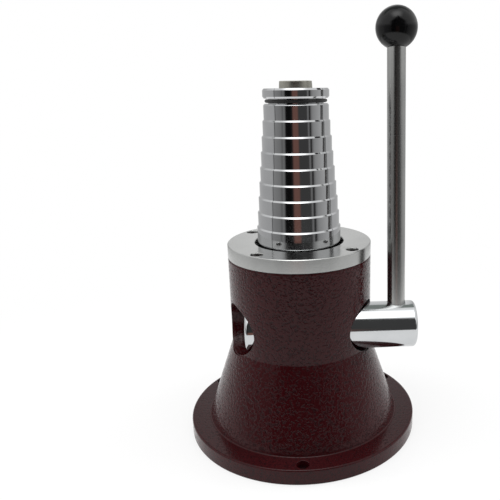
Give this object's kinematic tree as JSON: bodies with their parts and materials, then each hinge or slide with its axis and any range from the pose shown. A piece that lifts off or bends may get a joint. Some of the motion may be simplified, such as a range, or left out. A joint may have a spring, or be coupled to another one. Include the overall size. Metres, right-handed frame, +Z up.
{
  "type": "bracelet stretcher",
  "caption": "Bench bracelet stretcher: a lever lifts a tapered expander inside a stepped, split polished mandrel on a round cast base with a bolting flange.",
  "frame": {"origin": "on the mandrel axis, at the floor under the flange", "axes": "+Z up the mandrel axis, +X along the pinion shaft to the lever side, -Y to the front where the lever is pulled"},
  "size_m": [0.182, 0.182, 0.3222],
  "materials": {
    "hammertone_paint": "semi-gloss hammered enamel on cast iron",
    "polished_steel": "mirror polished",
    "ground_steel": "ground and lightly brushed",
    "turned_steel": "turned, oiled",
    "black_phenolic": "moulded, glossy",
    "black_rubber": "moulded, satin",
    "bearing_bronze": "machined",
    "blackened_steel": "black oxide"
  },
  "bodies": {
    "base": {"base_casting": "hammertone_paint", "top_plate": "ground_steel", "plate_screws": "blackened_steel", "wear_ring": "turned_steel", "segment_guide_pins": "turned_steel", "guide_bush_upper": "bearing_bronze", "guide_bush_lower": "bearing_bronze", "shaft_bush_left": "bearing_bronze", "shaft_bush_right": "bearing_bronze", "upper_o_ring": "black_rubber", "lower_o_ring": "black_rubber"},
    "lever": {"pinion_shaft": "polished_steel", "lever_rod": "ground_steel", "lever_grub_screw": "blackened_steel", "ball_knob": "black_phenolic", "knob_insert": "bearing_bronze"},
    "expander": {"expander_cone": "turned_steel", "rack_bar": "turned_steel", "cone_pin": "turned_steel"},
    "segment_front": {"mandrel_segment_front": "polished_steel"},
    "segment_right": {"mandrel_segment_right": "polished_steel"},
    "segment_back": {"mandrel_segment_back": "polished_steel"},
    "segment_left": {"mandrel_segment_left": "polished_steel"}
  },
  "joints": [
    {"name": "lever_hinge", "type": "hinge", "parent": "base", "child": "lever", "pos_m": [0, -0.0223, 0.09], "axis": [1, 0, 0], "range_deg": [0, 80]},
    {"name": "expander_slide", "type": "slide", "parent": "base", "child": "expander", "axis": [0, 0, 1], "range_m": [0, 0.02094]},
    {"name": "segment_front_slide", "type": "slide", "parent": "base", "child": "segment_front", "axis": [0.1045, -0.9945, 0], "range_m": [0, 0.00126], "deforming": ["upper_o_ring", "lower_o_ring"]},
    {"name": "segment_right_slide", "type": "slide", "parent": "base", "child": "segment_right", "axis": [0.9945, 0.1045, 0], "range_m": [0, 0.00126]},
    {"name": "segment_back_slide", "type": "slide", "parent": "base", "child": "segment_back", "axis": [-0.1045, 0.9945, 0], "range_m": [0, 0.00126]},
    {"name": "segment_left_slide", "type": "slide", "parent": "base", "child": "segment_left", "axis": [-0.9945, -0.1045, 0], "range_m": [0, 0.00126]}
  ],
  "couplings": [
    {"joint": "expander_slide", "follows": "lever_hinge", "m_per_rad": 0.015},
    {"joint": "segment_front_slide", "follows": "lever_hinge", "m_per_rad": 0.0009},
    {"joint": "segment_right_slide", "follows": "lever_hinge", "m_per_rad": 0.0009},
    {"joint": "segment_back_slide", "follows": "lever_hinge", "m_per_rad": 0.0009},
    {"joint": "segment_left_slide", "follows": "lever_hinge", "m_per_rad": 0.0009}
  ]
}
